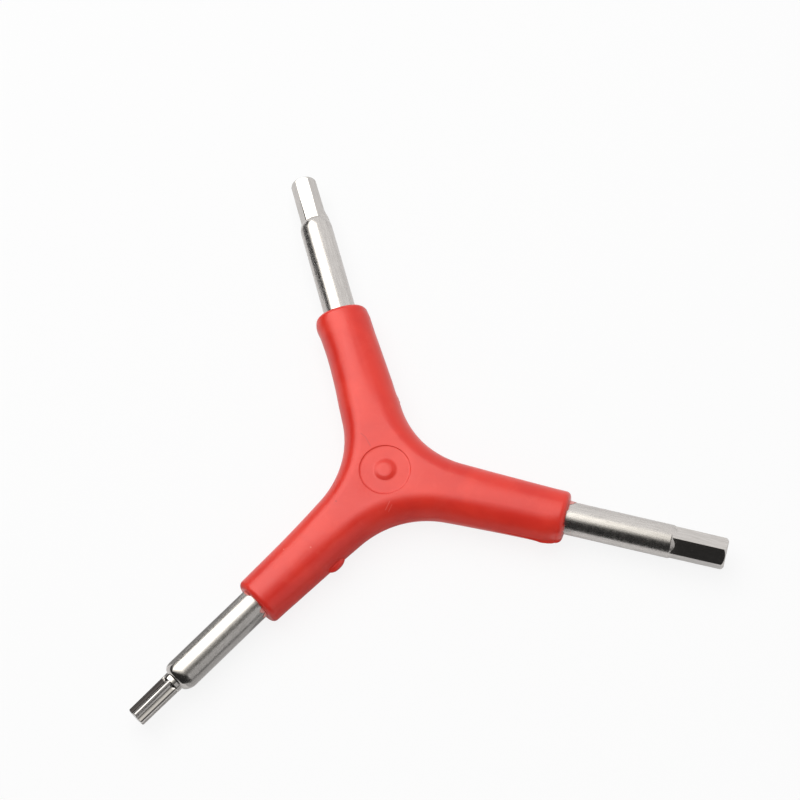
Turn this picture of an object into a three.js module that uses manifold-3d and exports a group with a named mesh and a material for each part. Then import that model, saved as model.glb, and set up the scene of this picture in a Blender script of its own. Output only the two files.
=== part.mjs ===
// Three-way Y wrench: a moulded grip that holds a large hex key, a small hex key and a six-lobe key.
// Millimetres, +Z up. The origin is on the hub's axis, on the flat that the wrench lies on.
// The large hex key points along +X, the small one at 120 degrees, the six-lobe one at 240 degrees.
// Each arm is drawn along +X with its axis at height zero, then turned into place.

import * as THREE from 'three';
import { mergeVertices } from 'three/addons/utils/BufferGeometryUtils.js';
import Module from 'manifold-3d';

const wasm = await Module();
wasm.setup();

// Key sizes
const largeHexAcrossFlats = 6;
const smallHexAcrossFlats = 5;
const starAcrossLobes = 4.43;
const starAcrossFlutes = 3.2;
const starLobeRadius = 0.37;

// Rods: round bar, just thick enough for the corners of the largest hexagon
const rodCornerAllowance = 0.036;
const rodInnerEndReach = 9;
const rodInnerChamfer = 0.5;

// How far each key stands out of the grip, and how much of that is bare round rod
const keyLength = 33.7;
const largeHexRodLength = 22.2;
const smallHexRodLength = 21.05;
const starRodLength = 20.4;

// Key tips: shoulder, neck, scoops and end
const largeHexShoulderLength = 1.1;
const largeHexShoulderSink = 0.08;
const largeHexEndChamfer = 0.9;
const largeHexEndDrop = 0.75;
const smallHexShoulderLength = 2.5;
const smallHexShoulderSink = 0.35;
const smallHexEndChamfer = 0.9;
const smallHexEndDrop = 0.65;
const starShoulderLength = 2.4;
const starNeckAllowance = 0.02;
const starNeckLength = 1.1;
const starScoopLength = 0.8;
const starScoopSink = 0.1;
const starEndChamfer = 0.35;
const starEndDrop = 0.35;
const endKneeReachShare = 0.33;
const endKneeDropShare = 0.5;

// How far each tip is turned about its own axis, in degrees; at zero a corner or a lobe points up
const largeHexTurnDegrees = 3.5;
const smallHexTurnDegrees = 24;
const starTurnDegrees = 0;

// Wings swaged into the hidden end of each rod, which lock it in the moulding
const wingStart = 2.2;
const wingLength = 6.5;
const wingRamp = 1.1;
const wingProud = 0.95;
const wingThickness = 1.8;

// Grip
const gripReach = 38.6;
const gripSideWall = 2.15;
const gripFaceWall = 1.9;
const gripEdgeRoundWidth = 4.3;
const gripPartingBand = 0.7;
const gripEndRound = 1.15;
const waistReach = 36;
const sideSweepRadius = 330;
const crotchRadius = 20;
const socketClearance = 0.3;

// Marks of the mould: a shallow disc with a low button in it on the hub, and a gate stub on one arm
const discRadius = 5.35;
const discDepth = 0.18;
const buttonRadius = 2.25;
const buttonTopRadius = 1.5;
const buttonHeight = 0.36;
const gateReach = 21.2;
const gateHalfLength = 2.15;
const gateProud = 1.35;
const gateSeat = 1.1;
const gateHalfHeight = 1.3;

// Cuts run past the surface by the overrun, and joined solids sink into each other by it.
// The rounded end is cut a skin outside the arm's sides, so that it leaves them untouched.
const overrun = 1;
const endSkin = 0.03;

// Facets
const armCount = 3;
const roundSides = 56;
const discSides = 72;
const edgeSteps = 9;
const sectionSteps = 5;
const endSteps = 5;
const outlineSteps = 6;
const shoulderSteps = 7;
const lobeSteps = 3;
const hexSides = 6;
const lobeCount = 6;
const gateSides = 20;

// Sizes worked out from the ones above
const fullTurn = 2 * Math.PI;
const quarterTurn = fullTurn / 4;
const armPitch = fullTurn / armCount;
const hexHalfPitch = fullTurn / hexSides / 2;
const lobeHalfPitch = fullTurn / lobeCount / 2;
const largeHexCorner = cornerRadius(largeHexAcrossFlats);
const smallHexCorner = cornerRadius(smallHexAcrossFlats);
const starRadius = starAcrossLobes / 2;
const fluteFloorRadius = starAcrossFlutes / 2;
const rodRadius = largeHexCorner + rodCornerAllowance;
const tipReach = gripReach + keyLength;
const gripHalfWidth = rodRadius + gripSideWall;
const gripHalfThickness = rodRadius + gripFaceWall;

function cornerRadius(acrossFlats) {
  return acrossFlats / 2 / Math.cos(hexHalfPitch);
}

// Geometry to solid and back

function toSolid(geometry) {
  const bare = geometry.clone();
  bare.deleteAttribute('normal');
  bare.deleteAttribute('uv');
  const merged = mergeVertices(bare);
  const index = merged.index.array;
  const triangles = [];
  for (let start = 0; start < index.length; start += 3) {
    const corners = index.slice(start, start + 3);
    if (new Set(corners).size === corners.length) {
      triangles.push(...corners);
    }
  }
  const mesh = new wasm.Mesh({
    numProp: 3,
    vertProperties: merged.attributes.position.array,
    triVerts: Uint32Array.from(triangles),
  });
  return new wasm.Manifold(mesh);
}

function toGeometry(solid) {
  const mesh = solid.getMesh();
  const geometry = new THREE.BufferGeometry();
  geometry.setAttribute('position', new THREE.BufferAttribute(mesh.vertProperties, 3));
  geometry.setIndex(new THREE.BufferAttribute(mesh.triVerts, 1));
  geometry.computeVertexNormals();
  return geometry;
}

// A profile of [reach, radius] points, turned about the arm's axis
function turnedAboutX(profile, sides) {
  const points = profile.map(([reach, radius]) => new THREE.Vector2(radius, reach));
  return new THREE.LatheGeometry(points, sides).rotateZ(-quarterTurn);
}

// A profile of [height, radius] points, turned about the hub's axis
function turnedAboutZ(profile, sides) {
  const points = profile.map(([height, radius]) => new THREE.Vector2(radius, height));
  return new THREE.LatheGeometry(points, sides).rotateX(quarterTurn);
}

// A shape drawn across the arm, drawn out along +X from one reach to another
function extrudedAlongX(shape, fromReach, toReach, settings) {
  const options = { depth: toReach - fromReach, bevelEnabled: false, ...settings };
  return new THREE.ExtrudeGeometry(shape, options).rotateY(quarterTurn).translate(fromReach, 0, 0);
}

// Points of a convex quarter ellipse that steps a turned profile down towards the tip
function roundedStep(fromReach, fromRadius, toReach, toRadius) {
  const points = [];
  for (let step = 0; step <= shoulderSteps; step += 1) {
    const angle = (quarterTurn * step) / shoulderSteps;
    const reach = fromReach + (toReach - fromReach) * Math.sin(angle);
    const radius = toRadius + (fromRadius - toRadius) * Math.cos(angle);
    points.push([reach, radius]);
  }
  return points;
}

// Points of the hollow run-out that brings a flute's floor up to the neck
function scoop(fromReach, fromRadius, toReach, toRadius) {
  const points = [];
  for (let step = 0; step <= shoulderSteps; step += 1) {
    const share = step / shoulderSteps;
    const reach = fromReach + (toReach - fromReach) * share;
    const radius = toRadius + (fromRadius - toRadius) * (1 - share) ** 2;
    points.push([reach, radius]);
  }
  return points;
}

// Keys

// The wings in plan, grown by the clearance where they cut their own pocket
function wingPlate(clearance) {
  const start = rodInnerEndReach + wingStart - clearance;
  const end = rodInnerEndReach + wingStart + wingLength + clearance;
  const halfWidth = rodRadius + wingProud + clearance;
  const rootHalfWidth = rodRadius - wingProud;
  const thickness = wingThickness + 2 * clearance;
  const outline = new THREE.Shape([
    new THREE.Vector2(start, -rootHalfWidth),
    new THREE.Vector2(start + wingRamp, -halfWidth),
    new THREE.Vector2(end - wingRamp, -halfWidth),
    new THREE.Vector2(end, -rootHalfWidth),
    new THREE.Vector2(end, rootHalfWidth),
    new THREE.Vector2(end - wingRamp, halfWidth),
    new THREE.Vector2(start + wingRamp, halfWidth),
    new THREE.Vector2(start, rootHalfWidth),
  ]);
  const settings = { depth: thickness, bevelEnabled: false };
  return toSolid(new THREE.ExtrudeGeometry(outline, settings).translate(0, 0, -thickness / 2));
}

// The start of every key's turned profile, at its hidden end
function innerEndPoints() {
  return [
    [rodInnerEndReach, 0],
    [rodInnerEndReach, rodRadius - rodInnerChamfer],
    [rodInnerEndReach + rodInnerChamfer, rodRadius],
  ];
}

// The end of a turned profile at the tip, rounded over
function tipEndPoints(radius, chamfer, drop) {
  return [
    [tipReach - chamfer, radius],
    [tipReach - chamfer * endKneeReachShare, radius - drop * endKneeDropShare],
    [tipReach, radius - drop],
    [tipReach, 0],
  ];
}

// A round-ended bar that a tip is cut from
function tipBar(radius, fromReach, chamfer, drop) {
  const profile = [[fromReach, 0], [fromReach, radius], ...tipEndPoints(radius, chamfer, drop)];
  return toSolid(turnedAboutX(profile, roundSides));
}

// A hexagon with a rounded end, turned about its own axis
function hexTip(corner, turnDegrees, fromReach, chamfer, drop) {
  const hexagon = toSolid(turnedAboutX([
    [fromReach, 0],
    [fromReach, corner],
    [tipReach + overrun, corner],
    [tipReach + overrun, 0],
  ], hexSides).rotateX(THREE.MathUtils.degToRad(turnDegrees)));
  return hexagon.intersect(tipBar(corner, fromReach - overrun, chamfer, drop));
}

// The largest hexagon is as wide as its rod, whose end is a short cone between the flats
function makeLargeHexKey() {
  const shoulderStart = gripReach + largeHexRodLength;
  const shoulderEnd = shoulderStart + largeHexShoulderLength;
  const rod = toSolid(turnedAboutX([
    ...innerEndPoints(),
    [shoulderStart, rodRadius],
    [shoulderEnd, largeHexAcrossFlats / 2 - largeHexShoulderSink],
    [shoulderEnd, 0],
  ], roundSides));
  const tip = hexTip(
    largeHexCorner, largeHexTurnDegrees, shoulderStart - overrun, largeHexEndChamfer, largeHexEndDrop,
  );
  return rod.add(tip).add(wingPlate(0));
}

// The smaller hexagon stands out of a rod whose end is rounded over
function makeSmallHexKey() {
  const shoulderStart = gripReach + smallHexRodLength;
  const shoulderEnd = shoulderStart + smallHexShoulderLength;
  const sunkRadius = smallHexAcrossFlats / 2 - smallHexShoulderSink;
  const rod = toSolid(turnedAboutX([
    ...innerEndPoints(),
    ...roundedStep(shoulderStart, rodRadius, shoulderEnd, sunkRadius),
    [shoulderEnd, 0],
  ], roundSides));
  const tip = hexTip(
    smallHexCorner, smallHexTurnDegrees, shoulderStart - overrun, smallHexEndChamfer, smallHexEndDrop,
  );
  return rod.add(tip).add(wingPlate(0));
}

// Six convex lobes joined by six hollow flutes, all arcs tangent to each other
function starOutline() {
  const lobeCentre = starRadius - starLobeRadius;
  const along = lobeCentre * Math.cos(lobeHalfPitch);
  const fluteRadius = (lobeCentre ** 2 + fluteFloorRadius ** 2
    - 2 * fluteFloorRadius * along - starLobeRadius ** 2)
    / (2 * (starLobeRadius - fluteFloorRadius + along));
  const fluteCentre = fluteFloorRadius + fluteRadius;
  const meeting = Math.atan2(
    fluteCentre * Math.sin(lobeHalfPitch),
    fluteCentre * Math.cos(lobeHalfPitch) - lobeCentre,
  );
  const outline = new THREE.Shape();
  for (let lobe = 0; lobe < lobeCount; lobe += 1) {
    const lobeAngle = 2 * lobeHalfPitch * lobe;
    const fluteAngle = lobeAngle + lobeHalfPitch;
    outline.absarc(
      lobeCentre * Math.cos(lobeAngle), lobeCentre * Math.sin(lobeAngle), starLobeRadius,
      lobeAngle - meeting, lobeAngle + meeting, false,
    );
    outline.absarc(
      fluteCentre * Math.cos(fluteAngle), fluteCentre * Math.sin(fluteAngle), fluteRadius,
      lobeAngle + meeting + fullTurn / 2, fluteAngle + lobeHalfPitch - meeting - fullTurn / 2, true,
    );
  }
  return outline;
}

// The six-lobe tip stands on a short neck, and each flute runs out into it as a scoop
function makeStarKey() {
  const shoulderStart = gripReach + starRodLength;
  const neckStart = shoulderStart + starShoulderLength;
  const neckEnd = neckStart + starNeckLength;
  const scoopEnd = neckEnd + starScoopLength;
  const neckRadius = starRadius + starNeckAllowance;
  const rod = toSolid(turnedAboutX([
    ...innerEndPoints(),
    ...roundedStep(shoulderStart, rodRadius, neckStart, neckRadius),
    ...scoop(neckEnd, neckRadius, scoopEnd, fluteFloorRadius - starScoopSink),
    [scoopEnd, 0],
  ], roundSides));
  const star = toSolid(
    extrudedAlongX(starOutline(), shoulderStart, tipReach + overrun, { curveSegments: lobeSteps })
      .rotateX(THREE.MathUtils.degToRad(starTurnDegrees)),
  );
  const bar = tipBar(starRadius, shoulderStart - overrun, starEndChamfer, starEndDrop);
  return rod.add(star.intersect(bar)).add(wingPlate(0));
}

// Grip

// Where the sides and the crotch arcs of neighbouring arms meet, tangent to each other
function sideGeometry() {
  const sweepCentre = new THREE.Vector2(waistReach, gripHalfWidth + sideSweepRadius);
  const bisector = new THREE.Vector2(Math.cos(armPitch / 2), Math.sin(armPitch / 2));
  const along = sweepCentre.dot(bisector);
  const gap = sideSweepRadius - crotchRadius;
  const crotchDistance = along - Math.sqrt(along ** 2 - sweepCentre.lengthSq() + gap ** 2);
  const crotchCentre = bisector.clone().multiplyScalar(crotchDistance);
  const tangentAngle = crotchCentre.clone().sub(sweepCentre).angle();
  return { crotchDistance, tangentAngle };
}

// Half the grip's width at a place along the arm
function gripHalfWidthAt(reach) {
  const away = Math.max(waistReach - reach, 0);
  return gripHalfWidth + sideSweepRadius - Math.sqrt(sideSweepRadius ** 2 - away ** 2);
}

// The Y in plan at the parting line, with its arms run on past their end faces
function gripOutline() {
  const { crotchDistance, tangentAngle } = sideGeometry();
  const farReach = gripReach + gripEdgeRoundWidth + overrun;
  const outline = new THREE.Shape();
  for (let arm = 0; arm < armCount; arm += 1) {
    const heading = armPitch * arm;
    const ahead = new THREE.Vector2(Math.cos(heading), Math.sin(heading));
    const aside = new THREE.Vector2(-ahead.y, ahead.x);
    const place = (reach, side) => ahead.clone().multiplyScalar(reach).addScaledVector(aside, side);
    const rightCorner = place(farReach, -gripHalfWidth);
    const leftCorner = place(farReach, gripHalfWidth);
    const leftSweep = place(waistReach, gripHalfWidth + sideSweepRadius);
    const rightSweep = place(waistReach, -gripHalfWidth - sideSweepRadius);
    const crotchHeading = heading + armPitch / 2;
    const sweepStart = heading - tangentAngle;
    const sweepEnd = heading + tangentAngle;
    outline.absarc(rightSweep.x, rightSweep.y, sideSweepRadius, sweepStart, heading + quarterTurn, true);
    outline.lineTo(rightCorner.x, rightCorner.y);
    outline.lineTo(leftCorner.x, leftCorner.y);
    outline.absarc(leftSweep.x, leftSweep.y, sideSweepRadius, heading - quarterTurn, sweepEnd, true);
    outline.absarc(
      crotchDistance * Math.cos(crotchHeading), crotchDistance * Math.sin(crotchHeading), crotchRadius,
      sweepEnd, 2 * crotchHeading - sweepEnd, true,
    );
  }
  return outline;
}

// The grip's section across an arm near its end, grown by a skin; its first axis is the height
function gripSection(skin) {
  const flatHalf = gripHalfWidth - gripEdgeRoundWidth;
  const bandHalf = gripPartingBand / 2;
  const roundWidth = gripEdgeRoundWidth + skin;
  const roundHeight = gripHalfThickness - bandHalf + skin;
  const section = new THREE.Shape();
  section.absellipse(bandHalf, flatHalf, roundHeight, roundWidth, 0, quarterTurn, false);
  section.absellipse(-bandHalf, flatHalf, roundHeight, roundWidth, quarterTurn, 2 * quarterTurn, false);
  section.absellipse(-bandHalf, -flatHalf, roundHeight, roundWidth, 2 * quarterTurn, 3 * quarterTurn, false);
  section.absellipse(bandHalf, -flatHalf, roundHeight, roundWidth, 3 * quarterTurn, fullTurn, false);
  return section;
}

// What is cut away so that an arm ends in a flat face with a rounded edge all round
function gripEndWaste() {
  const startReach = gripReach - 2 * gripEndRound;
  const farReach = gripReach + gripEdgeRoundWidth + 2 * overrun;
  const block = new THREE.BoxGeometry(
    farReach - startReach, 2 * (gripHalfWidth + overrun), 2 * (gripHalfThickness + overrun),
  ).translate((startReach + farReach) / 2, 0, 0);
  const roundStart = gripReach - gripEndRound;
  const kept = extrudedAlongX(gripSection(endSkin), startReach - 2 * gripEndRound, roundStart, {
    bevelEnabled: true,
    bevelThickness: gripEndRound,
    bevelSize: gripEndRound,
    bevelOffset: -gripEndRound,
    bevelSegments: endSteps,
    curveSegments: sectionSteps,
  });
  return toSolid(block).subtract(toSolid(kept));
}

// The room that a key's rod and wings take inside an arm
function socket() {
  const radius = rodRadius + socketClearance;
  const bore = toSolid(turnedAboutX([
    [rodInnerEndReach - socketClearance, 0],
    [rodInnerEndReach - socketClearance, radius],
    [gripReach + overrun, radius],
    [gripReach + overrun, 0],
  ], roundSides));
  return bore.add(wingPlate(socketClearance));
}

// The stub that is left where the plastic came in, on one side of an arm at the parting line
function gateStub() {
  const stub = new THREE.SphereGeometry(1, gateSides, gateSides / 2)
    .scale(gateHalfLength, gateProud + gateSeat, gateHalfHeight)
    .translate(gateReach, gripHalfWidthAt(gateReach) - gateSeat, 0);
  return toSolid(stub);
}

function makeGrip() {
  const roundHeight = gripHalfThickness - gripPartingBand / 2;
  const body = new THREE.ExtrudeGeometry(gripOutline(), {
    depth: gripPartingBand,
    bevelEnabled: true,
    bevelThickness: roundHeight,
    bevelSize: gripEdgeRoundWidth,
    bevelOffset: -gripEdgeRoundWidth,
    bevelSegments: edgeSteps,
    curveSegments: outlineSteps,
  }).translate(0, 0, -gripPartingBand / 2);
  const discFloor = gripHalfThickness - discDepth;
  const disc = toSolid(turnedAboutZ([
    [discFloor, 0],
    [discFloor, discRadius],
    [gripHalfThickness + overrun, discRadius],
    [gripHalfThickness + overrun, 0],
  ], discSides));
  const button = toSolid(turnedAboutZ([
    [discFloor - overrun, 0],
    [discFloor - overrun, buttonRadius],
    [discFloor, buttonRadius],
    [discFloor + buttonHeight, buttonTopRadius],
    [discFloor + buttonHeight, 0],
  ], discSides));
  let grip = toSolid(body).subtract(disc).add(button);
  const gateArm = armCount - 1;
  grip = grip.add(turnedToArm(gateStub(), gateArm));
  for (let arm = 0; arm < armCount; arm += 1) {
    grip = grip.subtract(turnedToArm(gripEndWaste(), arm));
    grip = grip.subtract(turnedToArm(socket(), arm));
  }
  return grip;
}

function turnedToArm(solid, arm) {
  return solid.rotate([0, 0, THREE.MathUtils.radToDeg(armPitch * arm)]);
}

// Assembly

const gripPlastic = { color: 0xe0392f, roughness: 0.42, metalness: 0 };
const platedSteel = { color: 0xb9b5b0, roughness: 0.26, metalness: 1 };

function addPiece(parent, name, solid, finish) {
  const mesh = new THREE.Mesh(toGeometry(solid), new THREE.MeshStandardMaterial(finish));
  mesh.name = name;
  parent.add(mesh);
  return mesh;
}

const wrench = new THREE.Group();
wrench.position.z = gripHalfThickness;
addPiece(wrench, 'grip', makeGrip(), gripPlastic);
const keys = [
  ['hex_key_large', makeLargeHexKey()],
  ['hex_key_small', makeSmallHexKey()],
  ['star_key', makeStarKey()],
];
keys.forEach(([name, solid], arm) => {
  addPiece(wrench, name, solid, platedSteel).rotation.z = armPitch * arm;
});

export default wrench;
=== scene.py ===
import math

import bmesh
import bpy
import numpy as np
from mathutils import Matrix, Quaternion, Vector
from mathutils.geometry import delaunay_2d_cdt

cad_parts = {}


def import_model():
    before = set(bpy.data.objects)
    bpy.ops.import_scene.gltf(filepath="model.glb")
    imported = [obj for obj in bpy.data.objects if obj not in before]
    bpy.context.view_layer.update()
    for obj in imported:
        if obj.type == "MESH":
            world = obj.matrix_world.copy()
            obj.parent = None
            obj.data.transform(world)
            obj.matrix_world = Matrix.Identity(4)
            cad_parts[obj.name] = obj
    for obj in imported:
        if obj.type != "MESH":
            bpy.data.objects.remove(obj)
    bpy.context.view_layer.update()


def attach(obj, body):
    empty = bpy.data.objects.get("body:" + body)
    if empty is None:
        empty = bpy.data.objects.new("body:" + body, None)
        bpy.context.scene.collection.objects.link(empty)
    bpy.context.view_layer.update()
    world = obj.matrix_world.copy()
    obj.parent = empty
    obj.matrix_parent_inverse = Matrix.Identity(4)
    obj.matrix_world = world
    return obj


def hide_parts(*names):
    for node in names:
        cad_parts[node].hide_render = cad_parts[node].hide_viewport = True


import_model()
MM = 0.001
FULL_TURN = 2 * math.pi
SIXTH_TURN = math.radians(60)

# ---------------------------------------------------------------- camera
# Fitted to the edge lines and the ends of the three arms in the photograph
CAMERA_AZIMUTH, CAMERA_ELEVATION, CAMERA_ROLL = (math.radians(a) for a in (22.925, 67.870, -8.716))
CAMERA_AIM = Vector((-1.831, 17.326, 5.444)) * MM
CAMERA_DISTANCE = 510.81 * MM
CAMERA_LENS, SENSOR_WIDTH = 108.09, 36
CAMERA_SIGHT = 40


def add_camera():
    back = Vector((
        math.sin(CAMERA_AZIMUTH) * math.cos(CAMERA_ELEVATION),
        -math.cos(CAMERA_AZIMUTH) * math.cos(CAMERA_ELEVATION),
        math.sin(CAMERA_ELEVATION),
    ))
    data = bpy.data.cameras.new("camera")
    data.lens = CAMERA_LENS
    data.sensor_width = SENSOR_WIDTH
    data.clip_end = CAMERA_SIGHT
    camera = bpy.data.objects.new("camera", data)
    bpy.context.scene.collection.objects.link(camera)
    camera.location = CAMERA_AIM + back * CAMERA_DISTANCE
    camera.rotation_mode = "QUATERNION"
    camera.rotation_quaternion = (-back).to_track_quat("-Z", "Y") @ Quaternion((0, 0, 1), CAMERA_ROLL)
    bpy.context.scene.camera = camera


# ---------------------------------------------------------------- sizes
# Millimetres, and degrees for the turns. A reach is measured along an arm from the hub's axis,
# a side across the arm, and a height from the arm's axis.
ARM_HEADINGS = [math.radians(120 * k) for k in range(3)]
AXIS_HEIGHT, ROD_RADIUS = 5.4001, 3.5001
INNER_END, INNER_CHAMFER = 9.0, 0.5
GRIP_END, TIP_END = 38.6, 72.3
# Points nearer to each other than this are one; and what is let pass when lengths are compared
WELD, HAIR = 0.002, 0.001

# Large hexagon: a cone leads from a small step in the rod down to its flats
LARGE_APOTHEM, LARGE_ROUND, LARGE_TURN = 3.0, 0.17, 3.5
LARGE_SHOULDER, LARGE_CONE_END, LARGE_SINK = 60.8, 61.9, 0.08
LARGE_STEP, LARGE_STEP_LENGTH, LARGE_TAPER = 0.03, 0.2, 0.012
LARGE_END_LENGTH, LARGE_END_DROP = 0.9, 0.75
# Small hexagon: it stands out of a rounded shoulder and flares there at one corner
SMALL_APOTHEM, SMALL_ROUND, SMALL_TURN = 2.5, 0.13, 24.0
SMALL_SHOULDER, SMALL_SHOULDER_END, SMALL_SINK = 59.65, 62.15, 0.35
SMALL_SCALE, SMALL_TAPER, SMALL_CAP_SHARE = 1.005, 0.033, 0.98
SMALL_END_LENGTH, SMALL_END_DROP = 0.9, 0.65
FLARE, FLARE_CORNER = 0.5, 150
FLARE_FULL, FLARE_GONE, FLARE_FINE_END = 61.2, 64.4, 64.8
FLARE_NEAR, FLARE_FAR = 0.2, 0.85
# Six-lobe tip: rounded shoulder, neck, and scoops in which the flutes run out
STAR_RADIUS, STAR_FLUTE, STAR_LOBE = 2.215, 1.6, 0.37
STAR_SHOULDER, STAR_NECK, STAR_NECK_END, STAR_SCOOP_END = 59.0, 61.4, 62.5, 63.3
STAR_NECK_RADIUS, STAR_SINK = 2.22, 0.1
STAR_ASIDE, STAR_TAPER = -0.18, 0.02
STAR_END_LENGTH, STAR_END_DROP = 0.35, 0.35
# Every tip's end: how its edge rounds, and rings in its face: (before the end, inside the edge)
END_DROP_POWER = 1.73
FACE_RINGS = ((0.02, 0.012), (0.0, 0.05), (0.0, 0.12))
FACE_INNER_SHARE = 0.55
# Length on which a rod turns into its tip, in place and in polish
TIP_BLEND = 2.0

# The two wings near a rod's hidden end
WING_START, WING_END, WING_RAMP = 11.2, 17.7, 1.1
WING_PROUD, WING_THICKNESS = 0.95, 1.8
WING_ROOM = 0.05

# The grip: it has one width from an arm's end to the waist, then a long sweep and the crotch
HALF_WIDTH, HALF_THICKNESS = 5.65, 5.4
EDGE_WIDTH, BAND = 4.3, 0.7
ROUND_POWER, END_ROUND = 2.2, 1.15
WAIST, SWEEP_RADIUS, CROTCH_RADIUS = 36.0, 330.0, 20.0
FLAT_TOPPED_TO, ROUNDED_FROM = 8.0, 27.0
BORE_ROOM, BORE_END_ROOM = 0.03, 0.05
DISC_RADIUS, DISC_DEPTH = 5.35, 0.18
DISC_CENTRE = (-0.08, -0.45)
DISC_RIM, DISC_HOLE = 0.16, 0.14
BUTTON_RADIUS, BUTTON_TOP, BUTTON_HEIGHT = 2.25, 1.5, 0.36
GATE_REACH, GATE_HALF_LENGTH, GATE_PROUD, GATE_HALF_HEIGHT = 21.1, 2.6, 1.6, 1.3
GATE_SUNK = 1.1


# ---------------------------------------------------------------- small helpers
def arm_axes(arm):
    """The directions along and across an arm."""
    heading = ARM_HEADINGS[arm % 3]
    ahead = np.array((math.cos(heading), math.sin(heading), 0.0))
    aside = np.array((-ahead[1], ahead[0], 0.0))
    return ahead, aside


def place(arm, reach, side, height):
    """Points in the part's frame, given along, across and above an arm's axis."""
    ahead, aside = arm_axes(arm)
    reach, side, height = np.broadcast_arrays(reach, side, height)
    points = reach[..., None] * ahead + side[..., None] * aside
    points = points + height[..., None] * np.array((0.0, 0.0, 1.0))
    return points + np.array((0.0, 0.0, AXIS_HEIGHT))


def smooth(low, high, value):
    """0 at low and 1 at high, with a smooth run between them."""
    share = np.clip((value - low) / (high - low), 0.0, 1.0)
    return share * share * (3 - 2 * share)


def even_angles(step):
    return np.radians(np.arange(0, 360, step))


def apart(angles, middle, pitch=FULL_TURN):
    """How far angles are from a middle one that comes again at every pitch."""
    return np.abs((angles - middle + pitch / 2) % pitch - pitch / 2)


class Shell:
    """Vertices and faces gathered from grids, then welded into one mesh."""

    def __init__(self):
        self.points = []
        self.faces = []
        self.count = 0

    def add(self, points, faces):
        points = np.asarray(points, float).reshape(-1, 3)
        base = self.count
        self.points.append(points)
        self.count += len(points)
        self.faces.extend(tuple(base + int(i) for i in face) for face in faces)

    def grid(self, points, closed=False):
        """A grid of rows of points; closed joins each row's end to its start."""
        rows, columns = points.shape[:2]
        last = columns if closed else columns - 1
        faces = []
        for i in range(rows - 1):
            this_row, next_row = i * columns, (i + 1) * columns
            for j in range(last):
                k = (j + 1) % columns
                faces.append((this_row + j, this_row + k, next_row + k, next_row + j))
        self.add(points, faces)

    def fan(self, ring, centre):
        """Triangles from a closed ring to its centre."""
        count = len(ring)
        self.add(np.vstack([ring, centre]), [(j, (j + 1) % count, count) for j in range(count)])

    def build(self, name):
        points = np.vstack(self.points) * MM
        mesh = bpy.data.meshes.new(name)
        mesh.from_pydata(points.tolist(), [], self.faces)
        work = bmesh.new()
        work.from_mesh(mesh)
        bmesh.ops.remove_doubles(work, verts=work.verts, dist=WELD * MM)
        bmesh.ops.recalc_face_normals(work, faces=work.faces)
        for face in work.faces:
            face.smooth = True
        work.to_mesh(mesh)
        work.free()
        mesh.update()
        item = bpy.data.objects.new(name, mesh)
        bpy.context.scene.collection.objects.link(item)
        return item


def store(item, name, values):
    """Keeps a number for each vertex, for the materials to read."""
    layer = item.data.attributes.new(name, "FLOAT", "POINT")
    layer.data.foreach_set("value", np.asarray(values, np.float32))


def vertices_of(item):
    flat = np.empty(len(item.data.vertices) * 3)
    item.data.vertices.foreach_get("co", flat)
    return flat.reshape(-1, 3) / MM


# ---------------------------------------------------------------- keys
def to_circle(centre, radius, off, side):
    """Distance from the axis to a circle about a centre off it: its far side for 1, its near one for -1."""
    inside = np.maximum(radius ** 2 - (centre * np.sin(off)) ** 2, 0.0)
    return centre * np.cos(off) + side * np.sqrt(inside)


def hexagon_radius(angles, apothem, rounding, turn):
    """Distance from the axis to a hexagon with rounded corners, at each angle."""
    half = SIXTH_TURN / 2
    off = apart(angles, math.radians(90 + turn), SIXTH_TURN)
    centre = (apothem - rounding) / math.cos(half)
    tangent = math.atan2(rounding * math.sin(half), centre + rounding * math.cos(half))
    return np.where(off < tangent, to_circle(centre, rounding, off, 1), apothem / np.cos(half - off))


def star_radius(angles):
    """Distance from the axis to a six-lobe outline whose arcs are tangent, at each angle."""
    half = SIXTH_TURN / 2
    off = apart(angles, math.pi / 2, SIXTH_TURN)
    lobe_centre = STAR_RADIUS - STAR_LOBE
    along = lobe_centre * math.cos(half)
    flute = lobe_centre ** 2 + STAR_FLUTE ** 2 - 2 * STAR_FLUTE * along - STAR_LOBE ** 2
    flute /= 2 * (STAR_LOBE - STAR_FLUTE + along)
    flute_centre = STAR_FLUTE + flute
    meeting = math.atan2(flute_centre * math.sin(half), flute_centre * math.cos(half) - lobe_centre)
    contact = math.atan2(STAR_LOBE * math.sin(meeting), lobe_centre + STAR_LOBE * math.cos(meeting))
    outer = to_circle(lobe_centre, STAR_LOBE, off, 1)
    hollow = to_circle(flute_centre, flute, half - off, -1)
    return np.where(off < contact, outer, hollow)


def wing_radius(angles, reach, room=0.0):
    """Distance from the axis to the flat wings at the hidden end, at each angle."""
    proud = np.interp(
        reach,
        [WING_START - room, WING_START + WING_RAMP, WING_END - WING_RAMP, WING_END + room],
        [-WING_PROUD, WING_PROUD, WING_PROUD, -WING_PROUD],
    )
    half_width = ROD_RADIUS + proud + room
    half_height = WING_THICKNESS / 2 + room
    nearly_none = 1e-9
    across = np.abs(np.cos(angles)) + nearly_none
    up = np.abs(np.sin(angles)) + nearly_none
    return np.minimum(half_width / across, half_height / up)


def rod_with_wings(reach, angles):
    radius = np.full_like(angles, ROD_RADIUS)
    if WING_START <= reach <= WING_END:
        radius = np.maximum(radius, wing_radius(angles, reach))
    return radius


def rounded_step(reach, start, end, low):
    """Radius of a shoulder that rounds over from the rod to a low radius."""
    angle = math.asin((reach - start) / (end - start))
    return low + (ROD_RADIUS - low) * math.cos(angle)


def end_drop(reach, length, drop):
    """How far a tip's edge has rounded inwards on its last length."""
    share = np.clip((reach - (TIP_END - length)) / length, 0.0, 1.0)
    return drop * share ** END_DROP_POWER


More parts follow.
